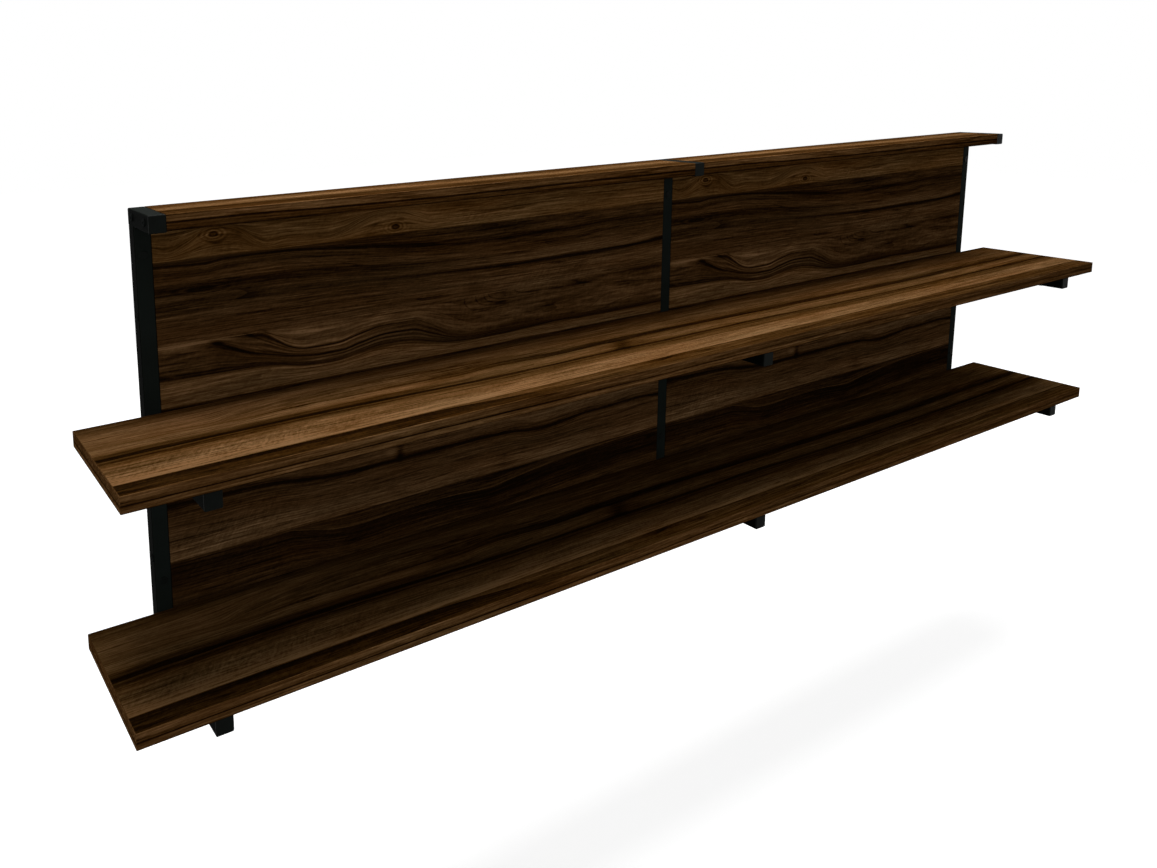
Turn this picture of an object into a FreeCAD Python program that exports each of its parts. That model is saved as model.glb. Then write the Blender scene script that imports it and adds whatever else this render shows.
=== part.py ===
import FreeCAD, Part
import os
import re
import Sketcher

# Two-bay wall shelving unit: walnut boards on a black square-tube frame, hung on a wall.
# Millimetres, +Z up, front towards -Y. Y = 0 is the wall, X = 0 the middle of the unit, and
# Z = 0 is half way between the upper and the lower wall fixings.

FRAME_SIZES = {
    "tube": 30,                 # outer width of the square steel tube
    "tube_wall": 2,
    "tube_radius": 2.5,         # outer corners of the tube
    "tube_inner_radius": 1,
    "bay_pitch": 1260,          # from one upright's centre line to the next
    "shelf_pitch": 373,         # top of the lower shelf to the top of the middle shelf
    "top_rise": 365,            # top of the middle shelf to the top of the unit
    "top_reach": 90,            # the top arms, from the front of the uprights
    "arm_reach": 290,           # the shelf arms, from the front of the uprights
    "weld_leg": 4,              # fillet weld under an arm
    "weld_clearance": 0.05,     # between a groove weld and the upright's rounded corner
}
BOARD_SIZES = {
    "board": 28,                # thickness of the shelves and top boards
    "panel": 18,                # thickness of the back panels
    "shelf_length": 2800,
    "shelf_depth": 293,
    "band": 1,                  # glued edge band
    "band_round": 0.8,
}
FIXING_SIZES = {
    "fixing_spacing": 600,      # upper wall screw to lower wall screw
    "fixing_drop": 80,          # top of the unit to the upper wall screw
    "fixing_radius": 3.5,       # hole in the rear wall of the tube
    "access_radius": 6.5,       # driver hole in the front wall of the tube
    "panel_bolt_inset": 160,    # from the ends of a back panel
    "top_bolt_inset": 25,       # from the front and back of a top board
    "arm_bolt_back": 70,        # from the front of the upright
    "arm_bolt_front": 60,       # from the front end of the shelf arm
}
HARDWARE_SIZES = {
    "bolt_radius": 3,
    "bolt_clearance": 0.5,
    "bolt_bite": 15,            # length of bolt beyond the tube
    "bolt_head_radius": 7,
    "bolt_head": 2.4,
    "bolt_chamfer": 0.8,
    "hex_key": 4,               # across the flats
    "hex_depth": 3.2,
    "insert_radius": 5,
    "insert_length": 16,
    "thread_clearance": 0.1,
    "fit_clearance": 0.1,       # around an insert nut or a dowel
    "dowel_radius": 4,
    "dowel_bite": 15,           # length of dowel in each board
    "dowel_chamfer": 0.8,
    "cap_head": 3,
    "cap_chamfer": 1,
    "cap_shank_gap": 2,         # between the cap's core and the tube's inner wall
    "cap_shank_length": 14,
    "cap_core_wall": 2,
    "fin": 1.2,
    "fin_gap": 0.2,             # between a fin and the tube's inner wall
    "fin_chamfer": 2,
    "fin_pitch": 6,
    "plug_head_radius": 8,
    "plug_head": 1.6,
    "plug_chamfer": 0.9,
    "plug_depth": 7,
    "plug_wall": 1.2,
    "plug_gap": 0.2,
}
SIZES = {**FRAME_SIZES, **BOARD_SIZES, **FIXING_SIZES, **HARDWARE_SIZES}

# Levels and places that several pieces share, worked out from the sizes above.
TOP = "(fixing_spacing / 2 + fixing_drop)"
MIDDLE = f"({TOP} - top_rise)"
LOWER = f"({MIDDLE} - shelf_pitch)"
FOOT = f"({LOWER} - board - tube)"
PANEL_TOP = f"({TOP} - board)"
TOP_DEPTH = "(tube + top_reach)"
BAY_WIDTH = "(bay_pitch - tube)"
SIDES = {"left": "-bay_pitch", "centre": "0", "right": "bay_pitch"}
BAYS = {"left": "-bay_pitch / 2", "right": "bay_pitch / 2"}
SHELVES = {"mid": MIDDLE, "lower": LOWER}
PANEL_BOLTS = [
    f"{PANEL_TOP} - panel_bolt_inset",
    f"({PANEL_TOP} + {FOOT}) / 2",
    f"{FOOT} + panel_bolt_inset",
]
PANEL_MIDDLE = "(-tube + panel / 2)"
TOP_BOLTS = ["-top_bolt_inset", f"-({TOP_DEPTH} - top_bolt_inset)"]
ARM_BOLTS = ["-arm_bolt_back", "-(arm_reach - arm_bolt_front)"]
BOLT_HOLE = "(bolt_radius + bolt_clearance)"
INSERT_HOLE = "(insert_radius + fit_clearance)"
DOWEL_HOLE = "(dowel_radius + fit_clearance)"
GROOVE = "(tube_radius * (2 - sqrt(2)) - weld_clearance)"

UPWARD = FreeCAD.Rotation()
X_AXIS = FreeCAD.Vector(1, 0, 0)
Y_AXIS = FreeCAD.Vector(0, 1, 0)
Z_AXIS = FreeCAD.Vector(0, 0, 1)
RIGHTWARD = FreeCAD.Rotation(Y_AXIS, 90)
LEFTWARD = FreeCAD.Rotation(Y_AXIS, -90)
BACKWARD = FreeCAD.Rotation(Z_AXIS, 180)
DOWNWARD = FreeCAD.Rotation(X_AXIS, 90)

doc = FreeCAD.newDocument("shelving_unit")
sizes = doc.addObject("Spreadsheet::Sheet", "sizes")
for row, (name, size) in enumerate(SIZES.items(), 1):
    sizes.set(f"A{row}", name)
    sizes.set(f"B{row}", str(size))
    sizes.setAlias(f"B{row}", name)
doc.recompute()

nodes = []


def cells(expression):
    """The expression with each size's name pointed at its cell in the sheet."""
    return re.sub(r"[a-z_]+\b(?!\()", r"sizes.\g<0>", expression)


def number(expression):
    """What the expression comes to now, for the first drawing of a sketch."""
    return float(sizes.evalExpression(expression))


def bind(thing, property_name, expression):
    thing.setExpression(property_name, cells(expression))


def place(thing, x, y, z, turn=UPWARD):
    thing.Placement = FreeCAD.Placement(FreeCAD.Vector(), turn)
    for axis, expression in zip("xyz", (x, y, z)):
        bind(thing, f"Placement.Base.{axis}", expression)


def new_body(label, x="0", y="0", z="0"):
    body = doc.addObject("PartDesign::Body", label)
    body.Label = label
    place(body, x, y, z)
    return body


def sketch(body, role, offset="0"):
    plane = next(feature for feature in body.Origin.OriginFeatures if feature.Role == role)
    drawing = body.newObject("Sketcher::SketchObject", f"{body.Name}_sketch")
    drawing.AttachmentSupport = [(plane, "")]
    drawing.MapMode = "FlatFace"
    bind(drawing, "AttachmentOffset.Base.z", offset)
    return drawing


def fix(drawing, kind, expression, *points):
    index = drawing.addConstraint(Sketcher.Constraint(kind, *points, number(expression)))
    bind(drawing, f"Constraints[{index}]", expression)


def outline(drawing, corners):
    """A closed outline of straight lines, each corner held at its two expressions."""
    first = drawing.GeometryCount
    count = len(corners)
    spots = [FreeCAD.Vector(number(across), number(along), 0) for across, along in corners]
    for index in range(count):
        drawing.addGeometry(Part.LineSegment(spots[index], spots[(index + 1) % count]))
    for index, (across, along) in enumerate(corners):
        following = first + (index + 1) % count
        drawing.addConstraint(Sketcher.Constraint("Coincident", first + index, 2, following, 1))
        fix(drawing, "DistanceX", across, -1, 1, first + index, 1)
        fix(drawing, "DistanceY", along, -1, 1, first + index, 1)


def rectangle(drawing, left, right, bottom, top):
    outline(drawing, [(left, bottom), (right, bottom), (right, top), (left, top)])


def square(drawing, half):
    rectangle(drawing, f"-({half})", half, f"-({half})", half)


def blunt_square(drawing, half, chamfer):
    short = f"({half} - {chamfer})"
    half = f"({half})"
    outline(drawing, [
        (f"-{short}", f"-{half}"), (short, f"-{half}"), (half, f"-{short}"), (half, short),
        (short, half), (f"-{short}", half), (f"-{half}", short), (f"-{half}", f"-{short}"),
    ])


def circle(drawing, across, along, radius):
    centre = FreeCAD.Vector(number(across), number(along), 0)
    ring = drawing.addGeometry(Part.Circle(centre, Z_AXIS, number(radius)))
    fix(drawing, "DistanceX", across, -1, 1, ring, 3)
    fix(drawing, "DistanceY", along, -1, 1, ring, 3)
    fix(drawing, "Radius", radius, ring)


def pad(body, drawing, length, backwards=False, symmetric=False):
    feature = body.newObject("PartDesign::Pad", f"{body.Name}_pad")
    feature.Profile = drawing
    feature.Reversed = backwards
    feature.SideType = "Symmetric" if symmetric else "One side"
    bind(feature, "Length", length)
    doc.recompute()


def pocket(body, drawing, length=None, backwards=False, symmetric=False):
    """Cuts the sketch out of the body, right through where no length is given."""
    before = body.Shape.Volume
    feature = body.newObject("PartDesign::Pocket", f"{body.Name}_pocket")
    feature.Profile = drawing
    feature.Reversed = backwards
    feature.SideType = "Symmetric" if symmetric else "One side"
    if length:
        bind(feature, "Length", length)
    else:
        feature.Type = "ThroughAll"
    doc.recompute()
    if body.Shape.Volume >= before:
        raise RuntimeError(f"a pocket of {body.Label} cuts nothing")


def revolve(body, drawing, axis):
    feature = body.newObject("PartDesign::Revolution", f"{body.Name}_revolution")
    feature.Profile = drawing
    feature.ReferenceAxis = (drawing, [axis])
    doc.recompute()


def ease(body, kind, measure, size, wanted):
    """Eases the edges of the body that the test picks by direction and midpoint."""
    base = body.Tip
    names = []
    for index, edge in enumerate(base.Shape.Edges, 1):
        middle = edge.valueAt((edge.FirstParameter + edge.LastParameter) / 2)
        direction = edge.tangentAt(edge.FirstParameter)
        if wanted(direction, middle):
            names.append(f"Edge{index}")
    feature = body.newObject(f"PartDesign::{kind}", f"{body.Name}_{kind.lower()}")
    feature.Base = (base, names)
    bind(feature, measure, size)
    doc.recompute()


def round_edges(body, radius, wanted):
    ease(body, "Fillet", "Radius", radius, wanted)


def bevel_edges(body, size, wanted):
    ease(body, "Chamfer", "Size", size, wanted)


def same(first, second):
    return abs(first - second) < 1e-6


def along(axis):
    return lambda direction, middle: same(abs(direction.dot(axis)), 1)


def at_corners(axis, half):
    """Picks the edges along the axis at the corners of a square of this half width."""
    def wanted(direction, middle):
        across = middle.y if axis == Z_AXIS else middle.z
        return along(axis)(direction, middle) and same(abs(middle.x), half) and same(abs(across), half)
    return wanted


def group(label, copies):
    """One node of loose copies: each is a pattern piece, its place and the way it points."""
    links = []
    for piece, x, y, z, turn in copies:
        link = doc.addObject("App::Link", f"{label}_copy")
        link.LinkedObject = piece
        place(link, x, y, z, turn)
        links.append(link)
    node = doc.addObject("Part::Compound", label)
    node.Label = label
    node.Links = links
    nodes.append(node)


def square_tube(body, role, length, start="0"):
    """A hollow tube with rounded corners, from the start along the plane's normal."""
    axis = Z_AXIS if role == "XY_Plane" else Y_AXIS
    section = sketch(body, role, start)
    square(section, "tube / 2")
    pad(body, section, length)
    round_edges(body, "tube_radius", along(axis))
    inner_half = "tube / 2 - tube_wall"
    hollow = sketch(body, role, start)
    square(hollow, inner_half)
    pocket(body, hollow, symmetric=True)
    round_edges(body, "tube_inner_radius", at_corners(axis, number(inner_half)))


def upright(side):
    body = new_body(f"{side}_upright", SIDES[side], "-tube / 2")
    start = f"{FOOT} + cap_head"
    square_tube(body, "XY_Plane", f"{TOP} - tube - ({start})", start)
    for radius, in_front in (("fixing_radius", False), ("access_radius", True)):
        holes = sketch(body, "XZ_Plane")
        for level in ("fixing_spacing / 2", "-fixing_spacing / 2"):
            circle(holes, "0", level, radius)
        pocket(body, holes, backwards=in_front)
    hole = DOWEL_HOLE if side == "centre" else BOLT_HOLE
    across = sketch(body, "YZ_Plane")
    for level in PANEL_BOLTS:
        circle(across, f"{PANEL_MIDDLE} + tube / 2", level, hole)
    pocket(body, across, symmetric=True)
    nodes.append(body)


def weld_under(body, face):
    """The fillet weld in the corner between the arm's underside and the upright's front face."""
    underside = "-tube / 2"
    bead = sketch(body, "YZ_Plane")
    outline(bead, [(face, underside), (face, f"{underside} - weld_leg"), (f"{face} - weld_leg", underside)])
    pad(body, bead, "tube - 2 * tube_radius", symmetric=True)


def weld_beside(body):
    """Weld in the grooves that the upright's rounded corners leave behind the arm's sides."""
    for sign in ("", "-"):
        side = f"{sign}tube / 2"
        groove = sketch(body, "XY_Plane")
        outline(groove, [(side, "0"), (f"{side} - {sign}{GROOVE}", "0"), (side, GROOVE)])
        pad(body, groove, "tube - 2 * tube_radius", symmetric=True)


def weld_over_upright(body):
    """Squares the arm's two lower corners where they lie on the head of the upright."""
    low = "-tube / 2"
    for sign in ("", "-"):
        side = f"{sign}tube / 2"
        seam = sketch(body, "XZ_Plane")
        outline(seam, [(side, low), (f"{side} - {sign}tube_radius", low), (side, f"{low} + tube_radius")])
        pad(body, seam, "tube - cap_head")


def top_arm(side):
    """Runs over the head of its upright, flush with its back and both its sides."""
    body = new_body(f"{side}_top_arm", SIDES[side], "-cap_head", f"{TOP} - tube / 2")
    square_tube(body, "XZ_Plane", f"{TOP_DEPTH} - 2 * cap_head")
    hole = DOWEL_HOLE if side == "centre" else BOLT_HOLE
    holes = sketch(body, "YZ_Plane")
    for depth in TOP_BOLTS:
        circle(holes, f"{depth} + cap_head", "(tube - board) / 2", hole)
    pocket(body, holes, symmetric=True)
    weld_under(body, "-(tube - cap_head)")
    weld_over_upright(body)
    nodes.append(body)


def shelf_arm(side, shelf):
    body = new_body(f"{side}_{shelf}_arm", SIDES[side], "-tube", f"{SHELVES[shelf]} - board - tube / 2")
    square_tube(body, "XZ_Plane", "arm_reach - cap_head")
    holes = sketch(body, "XY_Plane")
    for depth in ARM_BOLTS:
        circle(holes, "0", depth, BOLT_HOLE)
    pocket(body, holes, symmetric=True)
    weld_beside(body)
    if shelf == "mid":
        weld_under(body, "0")
    nodes.append(body)


def end_holes(body, bay, places):
    """Insert nut holes in a board's outer end and dowel holes in the end at the centre upright."""
    for end, sign in (("left", "-"), ("right", "")):
        outer = end == bay
        holes = sketch(body, "YZ_Plane", f"{sign}{BAY_WIDTH} / 2")
        for depth, level in places:
            circle(holes, depth, level, INSERT_HOLE if outer else DOWEL_HOLE)
        length = "insert_length" if outer else "dowel_bite"
        pocket(body, holes, f"{length} + fit_clearance", backwards=end == "left")


def back_panel(bay):
    body = new_body(f"{bay}_back_panel", BAYS[bay], "-tube + panel")
    sheet = sketch(body, "XZ_Plane")
    rectangle(sheet, f"-{BAY_WIDTH} / 2", f"{BAY_WIDTH} / 2", FOOT, PANEL_TOP)
    pad(body, sheet, "panel")
    places = [("-panel / 2", level) for level in PANEL_BOLTS]
    end_holes(body, bay, places)
    nodes.append(body)


def top_board(bay):
    body = new_body(f"{bay}_top_board", BAYS[bay], "0", TOP)
    sheet = sketch(body, "XY_Plane")
    rectangle(sheet, f"-{BAY_WIDTH} / 2", f"{BAY_WIDTH} / 2", f"-({TOP_DEPTH} - band)", "0")
    pad(body, sheet, "board", backwards=True)
    places = [(depth, "-board / 2") for depth in TOP_BOLTS]
    end_holes(body, bay, places)
    nodes.append(body)


def shelf_board(shelf):
    body = new_body(f"{shelf}_shelf", "0", "-tube", SHELVES[shelf])
    half = "(shelf_length / 2 - band)"
    sheet = sketch(body, "XY_Plane")
    rectangle(sheet, f"-{half}", half, "-(shelf_depth - band)", "0")
    pad(body, sheet, "board", backwards=True)
    holes = sketch(body, "XY_Plane", "-board")
    for across in SIDES.values():
        for depth in ARM_BOLTS:
            circle(holes, across, depth, INSERT_HOLE)
    pocket(body, holes, "insert_length + fit_clearance", backwards=True)
    nodes.append(body)


def edge_band(label, length, rounds_ends):
    """A glued strip along X, its back on y = 0, with its outer edges eased."""
    body = new_body(label)
    strip = sketch(body, "XZ_Plane")
    rectangle(strip, f"-({length}) / 2", f"({length}) / 2", "-board", "0")
    pad(body, strip, "band")
    face = -number("band")

    def outer_edge(direction, middle):
        return same(middle.y, face) and (rounds_ends or along(X_AXIS)(direction, middle))

    round_edges(body, "band_round", outer_edge)
    return body


def bolt():
    """Flat-headed connector bolt, pointing up, with the underside of its head at z = 0."""
    body = new_body("bolt")
    profile = sketch(body, "XZ_Plane")
    tip = "tube + bolt_bite"
    outline(profile, [
        ("0", "-bolt_head"), ("bolt_head_radius - bolt_chamfer", "-bolt_head"),
        ("bolt_head_radius", "-bolt_head + bolt_chamfer"), ("bolt_head_radius", "0"),
        ("bolt_radius", "0"), ("bolt_radius", tip), ("0", tip),
    ])
    revolve(body, profile, "V_Axis")
    socket = sketch(body, "XY_Plane", "-bolt_head")
    corner = "hex_key / sqrt(3)"
    flat = "hex_key / 2"
    outline(socket, [
        (corner, "0"), (f"{corner} / 2", flat), (f"-{corner} / 2", flat),
        (f"-{corner}", "0"), (f"-{corner} / 2", f"-{flat}"), (f"{corner} / 2", f"-{flat}"),
    ])
    pocket(body, socket, "hex_depth", backwards=True)
    return body


def insert_nut():
    body = new_body("insert_nut")
    ring = sketch(body, "XY_Plane")
    circle(ring, "0", "0", "insert_radius")
    circle(ring, "0", "0", "bolt_radius + thread_clearance")
    pad(body, ring, "insert_length")
    return body


def dowel():
    """A steel pin along Z through the centre tube, its middle on the origin."""
    body = new_body("dowel")
    profile = sketch(body, "XZ_Plane")
    half = "(tube / 2 + dowel_bite)"
    eased = f"{half} - dowel_chamfer"
    inner = "dowel_radius - dowel_chamfer"
    outline(profile, [
        ("0", f"-{half}"), (inner, f"-{half}"), ("dowel_radius", f"-({eased})"),
        ("dowel_radius", eased), (inner, half), ("0", half),
    ])
    revolve(body, profile, "V_Axis")
    return body


def tube_cap():
    """Ribbed plastic insert: the head covers the tube's end at y = 0 and points forward."""
    body = new_body("tube_cap")
    head = sketch(body, "XZ_Plane")
    square(head, "tube / 2")
    pad(body, head, "cap_head")
    round_edges(body, "tube_radius", along(Y_AXIS))
    front = -number("cap_head")
    bevel_edges(body, "cap_chamfer", lambda direction, middle: same(middle.y, front))
    core = sketch(body, "XZ_Plane")
    core_half = "tube / 2 - tube_wall - cap_shank_gap"
    square(core, core_half)
    pad(body, core, "cap_shank_length", backwards=True)
    for row in (1, 2):
        fin = sketch(body, "XZ_Plane", f"-fin_pitch * {row}")
        blunt_square(fin, "tube / 2 - tube_wall - fin_gap", "fin_chamfer")
        pad(body, fin, "fin", backwards=True)
    hollow = sketch(body, "XZ_Plane")
    square(hollow, f"{core_half} - cap_core_wall")
    pocket(body, hollow, "cap_shank_length")
    return body


def hole_plug():
    """Snap-in plug for a driver hole: a low head at y = 0 pointing forward and a hollow skirt."""
    body = new_body("hole_plug")
    skirt = "(access_radius - plug_gap)"
    profile = sketch(body, "YZ_Plane")
    outline(profile, [
        ("-plug_head", "0"), ("-plug_head", "plug_head_radius - plug_chamfer"),
        ("-plug_head + plug_chamfer", "plug_head_radius"), ("0", "plug_head_radius"),
        ("0", skirt), ("plug_depth", skirt), ("plug_depth", f"{skirt} - plug_wall"),
        ("0", f"{skirt} - plug_wall"), ("0", "0"),
    ])
    revolve(body, profile, "H_Axis")
    return body


def fasteners():
    bolt_piece = bolt()
    nut_piece = insert_nut()
    dowel_piece = dowel()
    outer = [("-(bay_pitch + tube / 2)", RIGHTWARD), ("bay_pitch + tube / 2", LEFTWARD)]
    inner = [("-(bay_pitch - tube / 2)", RIGHTWARD), ("bay_pitch - tube / 2", LEFTWARD)]
    panel_places = [(PANEL_MIDDLE, level) for level in PANEL_BOLTS]
    top_places = [(depth, f"{TOP} - board / 2") for depth in TOP_BOLTS]
    for name, places in (("panel", panel_places), ("top_board", top_places)):
        for kind, piece, ends in (("bolts", bolt_piece, outer), ("insert_nuts", nut_piece, inner)):
            group(f"{name}_{kind}", [(piece, x, y, z, turn) for x, turn in ends for y, z in places])
        group(f"{name}_dowels", [(dowel_piece, "0", y, z, RIGHTWARD) for y, z in places])
    for shelf, level in SHELVES.items():
        underside = f"{level} - board"
        spots = [(x, f"-tube + {y}") for x in SIDES.values() for y in ARM_BOLTS]
        group(f"{shelf}_shelf_bolts", [(bolt_piece, x, y, f"{underside} - tube", UPWARD) for x, y in spots])
        group(f"{shelf}_shelf_insert_nuts", [(nut_piece, x, y, underside, UPWARD) for x, y in spots])


def caps_and_plugs():
    cap = tube_cap()
    for shelf, level in SHELVES.items():
        front = "-tube - arm_reach + cap_head"
        middle = f"{level} - board - tube / 2"
        group(f"{shelf}_arm_caps", [(cap, x, front, middle, UPWARD) for x in SIDES.values()])
    top_level = f"{TOP} - tube / 2"
    front = f"-{TOP_DEPTH} + cap_head"
    group("top_arm_front_caps", [(cap, x, front, top_level, UPWARD) for x in SIDES.values()])
    group("top_arm_rear_caps", [(cap, x, "-cap_head", top_level, BACKWARD) for x in SIDES.values()])
    foot = f"{FOOT} + cap_head"
    group("upright_foot_caps", [(cap, x, "-tube / 2", foot, DOWNWARD) for x in SIDES.values()])
    plug = hole_plug()
    levels = ("fixing_spacing / 2", "-fixing_spacing / 2")
    group("wall_fixing_plugs", [(plug, x, "-tube", z, UPWARD) for x in SIDES.values() for z in levels])


def edge_bands():
    front_strip = edge_band("shelf_front_band", "shelf_length", True)
    end_strip = edge_band("shelf_end_band", "shelf_depth - band", False)
    top_strip = edge_band("top_front_band", BAY_WIDTH, False)
    inside = "(shelf_length / 2 - band)"
    middle = "-tube - (shelf_depth - band) / 2"
    to_left = FreeCAD.Rotation(Z_AXIS, -90)
    to_right = FreeCAD.Rotation(Z_AXIS, 90)
    for shelf, level in SHELVES.items():
        group(f"{shelf}_shelf_edge_bands", [
            (front_strip, "0", "-tube - shelf_depth + band", level, UPWARD),
            (end_strip, f"-{inside}", middle, level, to_left),
            (end_strip, inside, middle, level, to_right),
        ])
    front = f"-{TOP_DEPTH} + band"
    group("top_board_edge_bands", [(top_strip, x, front, TOP, UPWARD) for x in BAYS.values()])


def check_and_write():
    doc.recompute()
    failed = [thing.Label for thing in doc.Objects if {"Invalid", "Error"} & set(thing.State)]
    for node in nodes:
        if node.Shape.isNull() or not node.Shape.isValid() or not node.Shape.Solids:
            failed.append(node.Label)
    if failed:
        raise RuntimeError(f"not built: {failed}")
    os.makedirs("parts", exist_ok=True)
    for node in nodes:
        node.Shape.exportStep(f"parts/{node.Label}.step")
        print(f"{node.Label}: {len(node.Shape.Solids)} solids, {node.Shape.Volume / 1000:.1f} cm3")


for side_name in SIDES:
    upright(side_name)
    top_arm(side_name)
    for shelf_name in SHELVES:
        shelf_arm(side_name, shelf_name)
for bay_name in BAYS:
    back_panel(bay_name)
    top_board(bay_name)
for shelf_name in SHELVES:
    shelf_board(shelf_name)
edge_bands()
fasteners()
caps_and_plugs()
check_and_write()
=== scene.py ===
import math

import bpy
from mathutils import Euler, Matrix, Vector


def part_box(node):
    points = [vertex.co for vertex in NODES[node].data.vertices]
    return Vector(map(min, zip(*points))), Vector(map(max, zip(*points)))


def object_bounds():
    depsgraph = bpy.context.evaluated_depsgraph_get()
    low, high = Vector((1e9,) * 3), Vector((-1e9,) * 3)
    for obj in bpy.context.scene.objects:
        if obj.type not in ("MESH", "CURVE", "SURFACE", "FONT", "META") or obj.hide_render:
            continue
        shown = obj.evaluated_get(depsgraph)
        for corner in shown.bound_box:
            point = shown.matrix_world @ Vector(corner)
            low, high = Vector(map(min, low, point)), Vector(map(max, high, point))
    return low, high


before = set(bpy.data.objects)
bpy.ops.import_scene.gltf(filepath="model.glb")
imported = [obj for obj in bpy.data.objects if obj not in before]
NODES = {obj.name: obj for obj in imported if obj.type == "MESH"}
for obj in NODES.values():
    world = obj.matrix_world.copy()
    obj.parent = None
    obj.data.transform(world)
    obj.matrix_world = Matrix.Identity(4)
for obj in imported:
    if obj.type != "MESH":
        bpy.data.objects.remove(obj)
CAD_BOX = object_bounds()
MM = 0.001


def box_mm(node):
    """The low and the high corner of a node's box, in millimetres."""
    low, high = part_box(node)
    return low / MM, high / MM


# Places that the materials need, read from the frame.
PANEL_LOW, PANEL_HIGH = box_mm("left_back_panel")
RIGHT_PANEL_LOW = box_mm("right_back_panel")[0]
TOP_HIGH = box_mm("left_top_board")[1]
TOP_BAND_LOW = box_mm("top_board_edge_bands")[0]
SHELF_LOW, SHELF_HIGH = box_mm("mid_shelf")
BAND_LOW, BAND_HIGH = box_mm("mid_shelf_edge_bands")
PANEL_LENGTH = PANEL_HIGH.x - PANEL_LOW.x
PANEL_HEIGHT = PANEL_HIGH.z - PANEL_LOW.z
BAY_PITCH = RIGHT_PANEL_LOW.x - PANEL_LOW.x
SHELF_LENGTH = BAND_HIGH.x - BAND_LOW.x
SHELF_DEPTH = SHELF_HIGH.y - BAND_LOW.y
TOP_DEPTH = TOP_HIGH.y - TOP_BAND_LOW.y
BOARD = SHELF_HIGH.z - SHELF_LOW.z

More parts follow.
